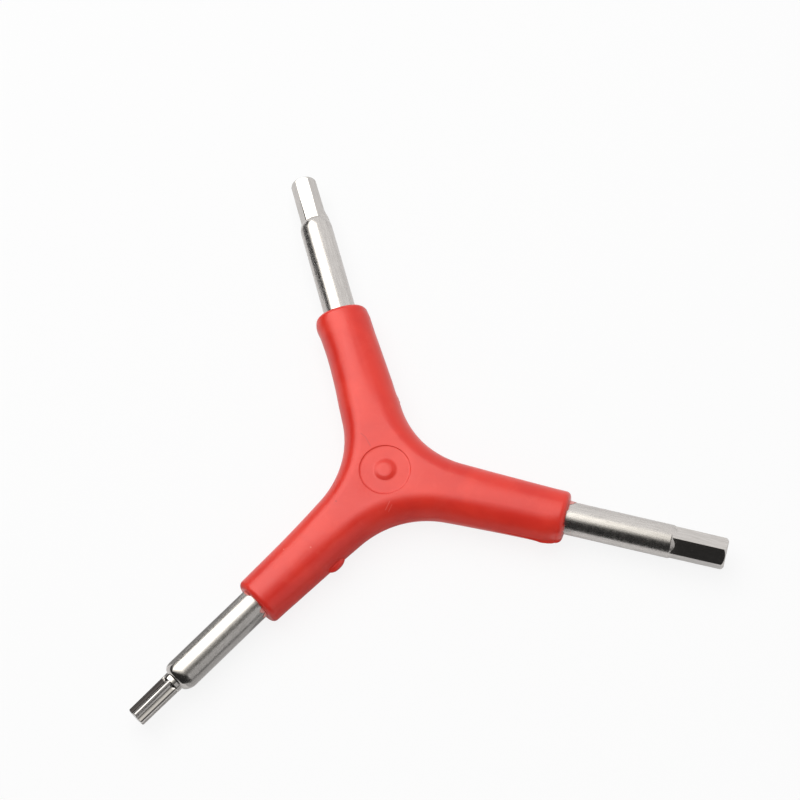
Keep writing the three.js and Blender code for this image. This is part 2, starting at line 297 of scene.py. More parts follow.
# Degrees either side of a hexagon's corner where a ring has points, and the step between them
CORNER_FAN = (-3.2, -2.3, -1.8, -1.4, -1.1, -0.8, -0.5, -0.2, 0.2, 0.5, 0.8, 1.1, 1.4, 1.8, 2.3, 3.2)
BETWEEN_CORNERS = 1.5


def hexagon_angles(turn):
    """Angles that crowd round each corner of a hexagon and are even between them."""
    crowded = []
    for k in range(6):
        corner = math.radians(90 + turn + 60 * k)
        crowded.extend((corner + math.radians(off)) % FULL_TURN for off in CORNER_FAN)
    crowded.sort()
    out = []
    for i, low in enumerate(crowded):
        high = crowded[i + 1] if i + 1 < len(crowded) else crowded[0] + FULL_TURN
        steps = max(1, round(math.degrees(high - low) / BETWEEN_CORNERS))
        out.extend(low + (high - low) * s / steps for s in range(steps))
    return np.array(out)


# Spans of a key's rings: where each ends, and the step in it. They start at the hidden end.
WING_FINE = 2.4
BARE_ROD = 36.0
HIDDEN_SPANS = (
    (WING_START, 0.8), (WING_START + WING_FINE, 0.2), (WING_END - WING_FINE, 1.0), (WING_END, 0.2),
    (BARE_ROD, 3.0),
)


def key_reaches(*spans):
    """The reaches of a key's rings: the spans that all keys share, then the given ones."""
    low = INNER_END + INNER_CHAMFER
    out = []
    for high, step in HIDDEN_SPANS + spans:
        count = max(1, round((high - low) / step))
        out.extend(low + (high - low) * i / count for i in range(count))
        low = high
    out.append(low)
    return out


def key(name, arm, reaches, angles, radius_at, shoulder, aside=0.0):
    """A key from its rings; aside is how far the tip stands off the rod's axis."""
    def tip_share(reach):
        return smooth(shoulder, shoulder + TIP_BLEND, reach)

    edge = radius_at(TIP_END)
    rings = [(INNER_END, np.full_like(angles, ROD_RADIUS - INNER_CHAMFER))]
    rings.extend((reach, radius_at(reach)) for reach in reaches)
    rings.extend((TIP_END - before, edge - inside) for before, inside in FACE_RINGS)
    rings.append((TIP_END, edge * FACE_INNER_SHARE))
    points = np.array([
        place(arm, reach, radius * np.cos(angles) + aside * tip_share(reach), radius * np.sin(angles))
        for reach, radius in rings
    ])
    shell = Shell()
    shell.grid(points, closed=True)
    shell.fan(points[-1], place(arm, TIP_END, aside, 0.0))
    shell.fan(points[0], place(arm, INNER_END, 0.0, 0.0))
    item = shell.build(name)
    ahead, across = arm_axes(arm)
    spots = vertices_of(item)
    along = spots @ ahead
    tip = tip_share(along)
    store(item, "along", along)
    store(item, "across", spots @ across - aside * tip)
    store(item, "up", spots[:, 2] - AXIS_HEIGHT)
    store(item, "tip", tip)
    return item


def large_hex_key():
    angles = hexagon_angles(LARGE_TURN)
    body = hexagon_radius(angles, LARGE_APOTHEM, LARGE_ROUND, LARGE_TURN)
    step_start = LARGE_SHOULDER - LARGE_STEP_LENGTH

    def radius_at(reach):
        if reach < step_start:
            return rod_with_wings(reach, angles)
        cone = 0.0
        if reach <= LARGE_CONE_END:
            share = np.clip((reach - LARGE_SHOULDER) / (LARGE_CONE_END - LARGE_SHOULDER), 0.0, 1.0)
            cone = ROD_RADIUS - (ROD_RADIUS - LARGE_APOTHEM + LARGE_SINK) * share
            cone = cone - LARGE_STEP * smooth(step_start, LARGE_SHOULDER, reach)
        taper = 1 - LARGE_TAPER * smooth(LARGE_SHOULDER, TIP_END, reach)
        cap = ROD_RADIUS - end_drop(reach, LARGE_END_LENGTH, LARGE_END_DROP)
        return np.maximum(cone, np.minimum(body * taper, cap))

    reaches = key_reaches(
        (LARGE_SHOULDER - 2 * LARGE_STEP_LENGTH, 2.5), (LARGE_CONE_END + 0.1, 0.035),
        (TIP_END - 1.0, 0.8), (TIP_END - 0.05, 0.05),
    )
    return key("hex_key_large_bar", 0, reaches, angles, radius_at, LARGE_SHOULDER)


def small_hex_key():
    angles = hexagon_angles(SMALL_TURN)
    body = hexagon_radius(angles, SMALL_APOTHEM, SMALL_ROUND, SMALL_TURN)
    corner = SMALL_APOTHEM / math.cos(SIXTH_TURN / 2)
    beside = smooth(FLARE_FAR, FLARE_NEAR, apart(angles, math.radians(FLARE_CORNER + SMALL_TURN)))

    def radius_at(reach):
        if reach < SMALL_SHOULDER:
            return rod_with_wings(reach, angles)
        step = 0.0
        if reach < SMALL_SHOULDER_END:
            step = rounded_step(reach, SMALL_SHOULDER, SMALL_SHOULDER_END, SMALL_APOTHEM - SMALL_SINK)
        taper = SMALL_SCALE - SMALL_TAPER * smooth(SMALL_SHOULDER_END, TIP_END, reach)
        cap = SMALL_CAP_SHARE * corner - end_drop(reach, SMALL_END_LENGTH, SMALL_END_DROP)
        flare = FLARE * smooth(FLARE_GONE, FLARE_FULL, reach) * beside
        return np.maximum(step, np.minimum(body * taper + flare, cap + flare))

    reaches = key_reaches(
        (SMALL_SHOULDER, 2.5), (SMALL_SHOULDER_END - 0.8, 0.08), (SMALL_SHOULDER_END + 0.02, 0.02),
        (FLARE_FINE_END, 0.3), (TIP_END - 1.0, 0.8), (TIP_END - 0.05, 0.05),
    )
    return key("hex_key_small_bar", 1, reaches, angles, radius_at, SMALL_SHOULDER)


def star_key():
    angles = even_angles(1.0)
    body = star_radius(angles)

    def radius_at(reach):
        if reach < STAR_SHOULDER:
            return rod_with_wings(reach, angles)
        step = 0.0
        if reach < STAR_NECK:
            step = rounded_step(reach, STAR_SHOULDER, STAR_NECK, STAR_NECK_RADIUS)
        elif reach < STAR_NECK_END:
            step = STAR_NECK_RADIUS
        elif reach < STAR_SCOOP_END:
            low = STAR_FLUTE - STAR_SINK
            share = (STAR_SCOOP_END - reach) / (STAR_SCOOP_END - STAR_NECK_END)
            step = low + (STAR_NECK_RADIUS - low) * share ** 2
        taper = 1.0 - STAR_TAPER * smooth(STAR_NECK_END, TIP_END, reach)
        cap = STAR_RADIUS - end_drop(reach, STAR_END_LENGTH, STAR_END_DROP)
        return np.maximum(step, np.minimum(body * taper, cap))

    reaches = key_reaches(
        (STAR_SHOULDER, 2.5), (STAR_NECK - 0.4, 0.08), (STAR_NECK, 0.03), (STAR_NECK_END, 0.2),
        (STAR_SCOOP_END + 0.04, 0.03), (TIP_END - 0.5, 0.6), (TIP_END - 0.03, 0.03),
    )
    item = key("star_key_bar", 2, reaches, angles, radius_at, STAR_SHOULDER, STAR_ASIDE)
    along = vertices_of(item) @ arm_axes(2)[0]
    store(item, "fluted", smooth(STAR_NECK_END, STAR_SCOOP_END, along))
    return item


# ---------------------------------------------------------------- grip
# How far the moulding strays from its drawn outline: (arm, side, reaches, amounts)
STRAYS = (
    (0, 1, (5.0, 10.0, 14.0, 18.0, 24.0, 28.0, 32.0, 35.0, 37.5),
     (0.0, -0.22, -0.34, -0.24, -0.18, -0.20, -0.28, -0.36, -0.40)),
    (0, -1, (5.0, 10.0, 14.0, 18.0, 22.0, 30.0, 32.0, 34.0, 35.0, 36.0, 36.8, 37.5),
     (0.25, 0.29, 0.33, 0.41, 0.48, 0.48, 0.46, 0.53, 0.54, 0.36, 0.15, -0.15)),
    (1, 1, (5.0, 10.0, 14.0, 18.0, 22.0, 27.0, 30.0, 32.0, 34.0, 35.0, 36.0, 37.0, 37.5),
     (-0.35, -0.33, -0.31, -0.28, -0.38, -0.38, -0.32, -0.20, -0.06, 0.05, 0.24, 0.26, 0.10)),
    (1, -1, (5.0, 10.0, 14.0, 18.0, 20.0, 24.0, 28.0, 30.0, 32.0, 34.0, 36.0, 37.5),
     (0.0, 0.30, 0.51, 0.50, 0.58, 0.57, 0.49, 0.43, 0.35, 0.30, 0.27, 0.06)),
    (2, 1, (5.0, 14.0, 18.0, 24.0, 28.0, 32.0, 35.0, 37.5),
     (0.25, 0.19, 0.20, 0.27, 0.21, 0.11, -0.02, -0.10)),
    (2, -1, (5.0, 10.0, 14.0, 28.0, 32.0, 35.0, 37.5),
     (-0.35, -0.40, -0.42, -0.42, -0.42, -0.45, -0.50)),
)
# Thin lips of flash on the parting line, in the same form
LIPS = (
    (0, -1, (24.0, 27.0, 31.0, 35.0, 37.5), (0.0, 0.12, 0.2, 0.42, 0.5)),
    (1, -1, (15.0, 15.4, 15.8, 16.2, 16.7, 17.2), (0.0, 0.16, 0.05, 0.2, 0.08, 0.0)),
    (2, -1, (20.0, 24.0, 32.0, 36.0), (0.0, 0.06, 0.08, 0.05)),
)
# Films of flash that creep out of the grip's end along the rods: (arm, angle, spread, length)
FILMS = (
    (0, 27, 30, 1.5), (0, 70, 16, 0.35), (0, 150, 18, 0.3), (0, 185, 16, 0.35),
    (1, 40, 18, 0.15), (1, 150, 20, 0.15),
    (2, 12, 12, 1.25), (2, 37, 12, 1.1), (2, 128, 22, 0.6),
)
FILM_POWER, FILM_WHOLE = 0.6, 0.12
# How densely the grip is divided
WAIST_COLUMNS, SWEEP_COLUMNS, CROTCH_COLUMNS = 6, 44, 20
EDGE_ROWS, FLAT_STEPS, END_ROWS = 24, 8, 13
FLAT_OVERLAP = 0.25
# Rings on the parting line: height and share of a lip
LIP_ROWS = ((0.16, 0.35), (0.10, 1.0))
FLAT_FIRST, FLAT_LAST, FLAT_PITCH = 12.0, GRIP_END - END_ROUND - 0.6, 0.8
FLAT_SHARES = (-0.8, -0.55, -0.28, 0.0, 0.28, 0.55, 0.8)
BORE_REACHES = (38.0, 30.0, 22.0, 18.0, *np.arange(17.8, 11.0, -0.2), 10.0, INNER_END - BORE_END_ROOM)
# The moulded disc from its rim to its middle: radius, height over the flat
DISC_PROFILE = (
    (DISC_RADIUS + DISC_RIM, 0.0), (DISC_RADIUS + 0.06, -0.012), (DISC_RADIUS + 0.01, -0.05),
    (DISC_RADIUS - 0.03, -DISC_DEPTH + 0.03), (DISC_RADIUS - 0.10, -DISC_DEPTH),
    (DISC_RADIUS - 0.5, -DISC_DEPTH), (BUTTON_RADIUS + 0.5, -DISC_DEPTH),
    (BUTTON_RADIUS + 0.08, -DISC_DEPTH), (BUTTON_RADIUS - 0.02, -DISC_DEPTH + 0.05),
    (BUTTON_TOP + 0.08, -DISC_DEPTH + BUTTON_HEIGHT - 0.04),
    (BUTTON_TOP - 0.05, -DISC_DEPTH + BUTTON_HEIGHT), (0.7, -DISC_DEPTH + BUTTON_HEIGHT - 0.01),
)
BUTTON_DISH = 0.015


def side_path():
    """One side of the Y from one arm's end to the next one's, in the first arm's axes.

    Gives the points, their outward normals, and the reach of each along its own arm.
    """
    sweep_centre = np.array((WAIST, HALF_WIDTH + SWEEP_RADIUS))
    bisector = np.array((0.5, math.sqrt(3) / 2))
    along = sweep_centre @ bisector
    gap = SWEEP_RADIUS - CROTCH_RADIUS
    distance = along - math.sqrt(along ** 2 - sweep_centre @ sweep_centre + gap ** 2)
    crotch_centre = bisector * distance
    off = crotch_centre - sweep_centre
    tangent = math.atan2(off[1], off[0])
    points, normals = [], []
    for reach in np.linspace(GRIP_END - END_ROUND, WAIST, WAIST_COLUMNS)[:-1]:
        points.append((reach, HALF_WIDTH))
        normals.append((0.0, 1.0))
    for centre, radius, angles in (
        (sweep_centre, SWEEP_RADIUS, np.linspace(-math.pi / 2, tangent, SWEEP_COLUMNS)[:-1]),
        (crotch_centre, CROTCH_RADIUS, np.linspace(tangent, -math.radians(120), CROTCH_COLUMNS)),
    ):
        for angle in angles:
            ray = np.array((math.cos(angle), math.sin(angle)))
            points.append(centre + radius * ray)
            normals.append(-ray)
    points, normals = np.array(points), np.array(normals)
    mirror = np.array(((-0.5, math.sqrt(3) / 2), (math.sqrt(3) / 2, 0.5)))
    far_points = (points[:-1] @ mirror.T)[::-1]
    far_normals = (normals[:-1] @ mirror.T)[::-1]
    reaches = np.concatenate([points[:, 0], points[:-1, 0][::-1]])
    return np.vstack([points, far_points]), np.vstack([normals, far_normals]), reaches


def local_half_width(reach):
    """Half the drawn width of an arm, at a reach outside the crotch."""
    away = np.maximum(WAIST - np.asarray(reach, float), 0.0)
    return HALF_WIDTH + SWEEP_RADIUS - np.sqrt(SWEEP_RADIUS ** 2 - away ** 2)


def roundness(reach):
    """How far the section has gone from flat-topped, at the hub, to well rounded, at an arm's end."""
    return smooth(FLAT_TOPPED_TO, ROUNDED_FROM, np.asarray(reach, float))


def rounded_height(side, reach):
    """Height of the well rounded section."""
    share = np.clip(np.abs(side) / local_half_width(reach), 0.0, 1.0)
    return HALF_THICKNESS * (1 - share ** ROUND_POWER) ** (1 / ROUND_POWER)


def crown(side, reach):
    """Height of the arm's broad face over its axis."""
    return HALF_THICKNESS + (rounded_height(side, reach) - HALF_THICKNESS) * roundness(reach)


def crown_at(points):
    """The same for points of the plan, each on the arm that it lies nearest to."""
    plan = np.asarray(points, float)[:, :2]
    reaches = np.array([plan @ arm_axes(k)[0][:2] for k in range(3)])
    side = np.array([p @ arm_axes(k)[1][:2] for p, k in zip(plan, reaches.argmax(axis=0))])
    return crown(side, reaches.max(axis=0))


def profile():
    """The section of a side, from the upper flat over the parting line to the lower flat.

    A row has its inset, its height, and its shares of the side's own stray and of the lip.
    """
    rise = HALF_THICKNESS - BAND / 2
    half = [(EDGE_WIDTH + FLAT_OVERLAP, HALF_THICKNESS, 0.0, 0.0)]
    for i in range(EDGE_ROWS + 1):
        angle = math.radians(90 - 90 * i / EDGE_ROWS)
        across, up = math.cos(angle), math.sin(angle)
        half.append((EDGE_WIDTH * (1 - across), BAND / 2 + rise * up, math.sqrt(max(across, 0.0)), 0.0))
    half.extend((0.0, height, 1.0, lip) for height, lip in LIP_ROWS)
    other = [(inset, -height, own, lip) for inset, height, own, lip in reversed(half)]
    return np.array(half + other)


def amounts_on_side(table, k, reaches):
    """What STRAYS or LIPS give for each column of the side between arm k and the next one."""
    middle = (len(reaches) + 1) // 2
    amounts = np.zeros(len(reaches))
    for arm, side, at, amount in table:
        if side > 0 and arm == k:
            part = slice(None, middle)
        elif side < 0 and arm == (k + 1) % 3:
            part = slice(middle, None)
        else:
            continue
        amounts[part] += np.interp(reaches[part], at, amount, left=0.0, right=amount[-1])
    return amounts


def side_grids():
    """For each arm k, the grid of the side between arm k and the next one."""
    points, normals, reaches = side_path()
    inset, height, own, lip_share = profile().T
    near = np.abs(height)
    broad = near > BAND / 2 + HAIR
    grids = []
    for k in range(3):
        strays = amounts_on_side(STRAYS, k, reaches)
        ragged = 0.92 + 0.08 * np.sin(reaches * 5.1 + k) * np.sin(reaches * 2.3 + 2 * k)
        lips = amounts_on_side(LIPS, k, reaches) * ragged
        rows = []
        for point, normal, reach, stray, lip in zip(points, normals, reaches, strays, lips):
            inwards = inset - stray * own - lip * lip_share
            plan = point - inwards[:, None] * normal
            rounded = np.where(broad, rounded_height(local_half_width(reach) - inset, reach), near)
            level = near + (rounded - near) * roundness(reach)
            rows.append(place(k, plan[:, 0], plan[:, 1], level * np.sign(height)))
        grids.append(np.array(rows))
    return grids


def end_loops(grids):
    """For each arm, the closed loop round its end: across, up and the normal there, in the arm's axes."""
    reach = GRIP_END - END_ROUND
    half_width = local_half_width(reach)
    loops = []
    for arm in range(3):
        aside = arm_axes(arm)[1]
        left = grids[arm][0][1:-1]
        right = grids[(arm + 2) % 3][-1][1:-1]
        low_left, low_right = left[-1] @ aside, right[-1] @ aside
        across = [low_left + (low_right - low_left) * s / FLAT_STEPS for s in range(1, FLAT_STEPS)]
        loop = [(point @ aside, point[2] - AXIS_HEIGHT) for point in left]
        loop.extend((y, -float(crown(y, reach))) for y in across)
        loop.extend((point @ aside, point[2] - AXIS_HEIGHT) for point in right[::-1])
        loop.extend((-y, float(crown(-y, reach))) for y in across)
        loop = np.array(loop)
        share = np.clip(np.abs(loop[:, 0]) / half_width, 0.0, 1.0)
        rise = np.clip(np.abs(loop[:, 1]) / HALF_THICKNESS, 0.0, 1.0)
        normal = np.stack([
            np.sign(loop[:, 0]) * share ** (ROUND_POWER - 1) / half_width,
            np.sign(loop[:, 1]) * rise ** (ROUND_POWER - 1) / HALF_THICKNESS,
        ], -1)
        normal[np.abs(loop[:, 1]) < BAND / 2 + HAIR, 1] = 0.0
        normal /= np.linalg.norm(normal, axis=1)[:, None]
        loops.append(np.hstack([loop, normal]))
    return loops


def flat_rings(grids, facing):
    """The outer and the inner ring of points round a broad flat."""
    inner_column, outer_column = (0, 1) if facing > 0 else (-1, -2)
    outer, inner = [], []
    for k in range(3):
        ahead, ahead_next = arm_axes(k)[0], arm_axes(k + 1)[0]
        grid, next_grid = grids[k], grids[(k + 1) % 3]
        outer.extend(grid[:, outer_column])
        inner.extend(grid[:, inner_column])
        inner[-1] = inner[-1] - FLAT_OVERLAP * ahead_next
        inner[-len(grid)] = inner[-len(grid)] - FLAT_OVERLAP * ahead
        for ring, start, end in (
            (outer, outer[-1], next_grid[0][outer_column]),
            (inner, inner[-1], next_grid[0][inner_column] - FLAT_OVERLAP * ahead_next),
        ):
            ring.extend(start + (end - start) * s / FLAT_STEPS for s in range(1, FLAT_STEPS))
    outer, inner = np.array(outer), np.array(inner)
    for ring in (outer, inner):
        ring[:, 2] = AXIS_HEIGHT + facing * crown_at(ring)
    return outer, inner


def disc(shell):
    """The moulded disc with its button; gives the plan of its rim."""
    angles = even_angles(3.0)
    rings = np.array([
        np.stack([DISC_CENTRE[0] + radius * np.cos(angles), DISC_CENTRE[1] + radius * np.sin(angles),
                  np.full_like(angles, HALF_THICKNESS + height + AXIS_HEIGHT)], -1)
        for radius, height in DISC_PROFILE
    ])
    shell.grid(rings, closed=True)
    middle = HALF_THICKNESS + AXIS_HEIGHT - DISC_DEPTH + BUTTON_HEIGHT - BUTTON_DISH
    shell.fan(rings[-1], (*DISC_CENTRE, middle))
    return rings[0]


def flats(shell, grids):
    """The broad faces along the arms and over the hub, with the moulded disc in the upper one."""
    between = []
    for k in range(3):
        ahead, aside = arm_axes(k)
        for reach in np.arange(FLAT_FIRST, FLAT_LAST, FLAT_PITCH):
            half = local_half_width(reach) - EDGE_WIDTH - FLAT_OVERLAP
            between.extend(reach * ahead + half * s * aside for s in FLAT_SHARES)
    for facing in (1, -1):
        outer, inner = flat_rings(grids, facing)
        shell.grid(np.array([outer, inner]), closed=True)
        rim = disc(shell) if facing > 0 else ()
        n, m = len(inner), len(rim)
        edges = [(i, (i + 1) % n) for i in range(n)] + [(n + i, n + (i + 1) % m) for i in range(m)]
        spots = [Vector((p[0], p[1])) for p in (*inner, *rim, *between)]
        found, _, triangles, _, _, _ = delaunay_2d_cdt(spots, edges, [], 1, 1e-7)
        kept = []
        for triangle in triangles:
            centre = sum((found[i] for i in triangle), Vector((0, 0))) / len(triangle)
            if facing < 0 or (centre - Vector(DISC_CENTRE)).length >= DISC_RADIUS + DISC_HOLE:
                kept.append(tuple(triangle))
        heights = AXIS_HEIGHT + facing * crown_at([(p.x, p.y) for p in found])
        shell.add([(p.x, p.y, z) for p, z in zip(found, heights)], kept)


def bore_radius(angles, reach):
    radius = np.full_like(angles, ROD_RADIUS + BORE_ROOM)
    if WING_START - WING_ROOM <= reach <= WING_END + WING_ROOM:
        radius = np.maximum(radius, wing_radius(angles, reach, WING_ROOM))
    return radius


def film_length(arm, angles):
    """How far the films of flash reach out of an arm's end, at each angle."""
    length = np.zeros_like(angles)
    for on, centre, spread, reach in FILMS:
        if on == arm:
            off = np.degrees(apart(angles, math.radians(centre)))
            length = np.maximum(length, reach * np.clip(1 - (off / spread) ** 2, 0, 1) ** FILM_POWER)
    ragged = 0.8 + 0.2 * np.sin(angles * 37 + arm) * np.sin(angles * 13.7)
    return length * ragged


def arm_end(shell, arm, loop):
    """An arm's rounded end, the films of flash round the rod, and the bore behind them."""
    y, z, normal_y, normal_z = loop.T
    rings = []
    for angle in np.radians(np.linspace(0, 90, END_ROWS)):
        back_by = END_ROUND * (1 - math.cos(angle))
        reach = GRIP_END - END_ROUND + END_ROUND * math.sin(angle)
        rings.append(place(arm, reach, y - back_by * normal_y, z - back_by * normal_z))
    angles = np.arctan2(z - END_ROUND * normal_z, y - END_ROUND * normal_y)
    film = film_length(arm, angles)
    bare = 1 - np.minimum(film / FILM_WHOLE, 1.0)
    rim = ROD_RADIUS + BORE_ROOM
    mouth = [
        (rim + 0.30, GRIP_END),
        (rim + 0.16, GRIP_END),
        (rim + 0.10, GRIP_END + 0.35 * film),
        (rim + 0.06, GRIP_END + 0.85 * film),
        (rim + 0.03, GRIP_END + film - 0.02 * bare),
        (rim, GRIP_END + film - 0.05),
    ]
    bore = [(bore_radius(angles, reach), reach) for reach in BORE_REACHES]
    for radius, reach in mouth + bore:
        rings.append(place(arm, reach, radius * np.cos(angles), radius * np.sin(angles)))
    shell.grid(np.array(rings), closed=True)
    shell.fan(rings[-1], place(arm, BORE_REACHES[-1], 0.0, 0.0))


def gate_stub(shell):
    """The broken stub of the gate on the six-lobe arm's side, sunk into it."""
    side = local_half_width(GATE_REACH)
    turns = even_angles(10.0)
    rows = []
    for tilt in np.radians(np.linspace(-88, 88, 17)):
        flatten = 1.0 - 0.18 * max(0.0, math.sin(tilt)) ** 4
        rows.append(place(
            2,
            GATE_REACH + GATE_HALF_LENGTH * math.cos(tilt) * np.cos(turns) * (1 + 0.06 * np.sin(5 * turns)),
            side - GATE_SUNK + (GATE_PROUD + GATE_SUNK) * math.sin(tilt) * flatten,
            GATE_HALF_HEIGHT * math.cos(tilt) * np.sin(turns) * (1 + 0.08 * np.sin(3 * turns + 1)),
        ))
    shell.grid(np.array(rows), closed=True)
    shell.fan(rows[0], rows[0].mean(0))
    shell.fan(rows[-1], rows[-1].mean(0))


def grip():
    shell = Shell()
    grids = side_grids()
    for grid in grids:
        shell.grid(grid[:, 1:-1])
    flats(shell, grids)
    for arm, loop in enumerate(end_loops(grids)):
        arm_end(shell, arm, loop)
    gate_stub(shell)
    item = shell.build("grip_moulding")
    reach = np.max([vertices_of(item) @ arm_axes(k)[0] for k in range(3)], axis=0)
    store(item, "film", smooth(GRIP_END + 0.03, GRIP_END + 0.25, reach))
    return item


# ---------------------------------------------------------------- node helpers
class Nodes:
    """Short ways to make the nodes of one tree; sockets and plain values can both be given."""

    def __init__(self, tree):
        self.tree = tree

    def new(self, kind, **settings):
        node = self.tree.nodes.new(kind)
        for name, value in settings.items():
            setattr(node, name, value)
        return node

    def link(self, source, target):
        self.tree.links.new(source, target)

    def put(self, socket, value):
        if isinstance(value, bpy.types.NodeSocket):
            self.link(value, socket)
        else:
            socket.default_value = value

    def fed(self, node, *values):
        """The node with its first inputs filled."""
        for socket, value in zip(node.inputs, values):
            self.put(socket, value)
        return node

    def math(self, operation, *values):
        return self.fed(self.new("ShaderNodeMath", operation=operation), *values).outputs[0]

    def times(self, a, b):
        return self.math("MULTIPLY", a, b)

    def ramp(self, value, low, high, to_low=0.0, to_high=1.0):
        node = self.new("ShaderNodeMapRange", clamp=True, interpolation_type="SMOOTHSTEP")
        return self.fed(node, value, low, high, to_low, to_high).outputs[0]

    def curve(self, value, points):
        """A value that runs through the given (from, to) points in straight lines."""
        total = points[0][1]
        for (low, a), (high, b) in zip(points, points[1:]):
            node = self.fed(self.new("ShaderNodeMapRange", clamp=True), value, low, high, 0.0, b - a)
            total = self.math("ADD", node.outputs[0], total)
        return total

    def noise(self, vector, scale, detail=2.0, roughness=0.5, distortion=0.0):
        node = self.new("ShaderNodeTexNoise")
        for name, value in (("Vector", vector), ("Scale", scale), ("Detail", detail),
                            ("Roughness", roughness), ("Distortion", distortion)):
            self.put(node.inputs[name], value)
        return node.outputs[0]

    def mix(self, factor, a, b):
        """A mix of two colours; a colour mix has them in sockets 6 and 7 and gives socket 2."""
        node = self.new("ShaderNodeMix", data_type="RGBA")
        for socket, value in ((0, factor), (6, a), (7, b)):
            self.put(node.inputs[socket], value)
        return node.outputs[2]

    def mix_shaders(self, factor, a, b):
        return self.fed(self.new("ShaderNodeMixShader"), factor, a, b).outputs[0]

    def vector(self, x, y, z):
        return self.fed(self.new("ShaderNodeCombineXYZ"), x, y, z).outputs[0]

    def position(self):
        return self.new("ShaderNodeTexCoord").outputs["Object"]

    def split(self, vector):
        return self.fed(self.new("ShaderNodeSeparateXYZ"), vector).outputs

    def attribute(self, name):
        return self.new("ShaderNodeAttribute", attribute_name=name).outputs["Fac"]

    def bump(self, height, distance, strength, normal=None):
        node = self.new("ShaderNodeBump")
        node.inputs["Strength"].default_value = strength
        node.inputs["Distance"].default_value = distance
        self.put(node.inputs["Height"], height)
        if normal is not None:
            self.put(node.inputs["Normal"], normal)
        return node.outputs[0]

    def stroke(self, x, y, start, end, half):
        """1 on a line across the plan and 0 off it: its ends and half its width in millimetres."""
        start, end, width = np.array(start, float) * MM, np.array(end, float) * MM, half * MM
        middle, reach = (start + end) / 2, np.linalg.norm(end - start) / 2
        ahead_x, ahead_y = ((end - start) / (2 * reach)).tolist()
        east = self.math("SUBTRACT", x, float(middle[0]))
        north = self.math("SUBTRACT", y, float(middle[1]))
        along = self.math("ADD", self.times(east, ahead_x), self.times(north, ahead_y))
        across = self.math("SUBTRACT", self.times(east, ahead_y), self.times(north, ahead_x))
        beside = self.ramp(self.math("ABSOLUTE", across), width, 0.3 * width)
        between = self.ramp(self.math("ABSOLUTE", along), reach + width, reach - 0.5 * width)
        return self.times(beside, between)


def new_material(name):
    material = bpy.data.materials.new(name)
    material.use_nodes = True
    shader = material.node_tree.nodes["Principled BSDF"]
    return material, Nodes(material.node_tree), shader


# ---------------------------------------------------------------- materials
# Noise in the plastic, per metre: scale, detail, roughness, distortion
CLOUDS = (90.0, 3.0, 0.5, 0.4)
PLASTIC_MOTTLE = (420.0, 2.0, 0.5)
FLOW = (260.0, 4.0, 0.6, 1.2)
WAVES = (160.0, 2.0, 0.5)
GRAIN = (2200.0, 2.0, 0.5)
RED_DEEP, RED_FRESH, RED_PALE = (0.74, 0.021, 0.010, 1), (0.82, 0.031, 0.014, 1), (0.84, 0.070, 0.042, 1)
FILM_COLOUR, FILM_SHARE = (0.90, 0.52, 0.47, 1), 0.7
PLASTIC_IOR = 1.57
# Any smoother, and the denoiser draws dark streaks into the gloss
PLASTIC_SMOOTHEST, PLASTIC_ROUGHEST = 0.285, 0.335
# Small marks on the grip's upper face, millimetres: (from, to, half width, share, colour)
DARK_MARK = (0.42, 0.016, 0.012, 1)
LIGHT_MARK = (0.92, 0.30, 0.24, 1)
# Darker red painted along a crease: painted shade
CREASE_SHADE = (0.62, 0.020, 0.014, 1)
MARKS = (
    # The two crease strokes are painted shade, darker red where a crease would shade the gloss
    ((-7.11, 6.19), (-5.9, 5.6), 0.2, 0.7, CREASE_SHADE),
    ((-5.9, 5.6), (-4.33, 3.87), 0.2, 0.7, CREASE_SHADE),
    ((2.25, -8.8), (2.71, -6.9), 0.12, 0.32, LIGHT_MARK),
    ((2.90, -8.9), (3.29, -7.4), 0.11, 0.25, LIGHT_MARK),
    ((-8.22, -9.58), (-8.02, -9.58), 0.22, 0.8, DARK_MARK),
    ((-16.0, -22.1), (-15.85, -22.1), 0.2, 0.6, LIGHT_MARK),
    ((-10.6, -20.5), (-10.45, -20.5), 0.2, 0.6, LIGHT_MARK),
)
MARKS_FROM, MARKS_FULL = 8.5, 9.5

# Noise in the steel, per millimetre
STREAKS = (6.0, 4.0, 0.65)
FINE_STREAKS = (22.0, 2.0, 0.5)
STEEL_MOTTLE = (1.1, 4.0, 0.6, 0.6)
DUST = (9.0, 3.0, 0.6)
STREAK_STRETCH = 0.05
STEEL_BRIGHT = (0.645, 0.615, 0.590, 1)
STEEL_DULL = (0.525, 0.497, 0.475, 1)
STEEL_DARK = (0.365, 0.345, 0.330, 1)
# Painted shade on the flutes of the six-lobe tip: near-black bands at fixed turns round the tip, radians:
# (angle, half width, share)
PAINTED_SHADE_BANDS = ((2.575, 0.53, 0.97), (0.70, 0.20, 0.72))
PAINTED_SHADE_COLOUR, PAINTED_SHADE_EDGE = (0.014, 0.012, 0.012, 1), 0.07
TIP_POLISH = 0.62


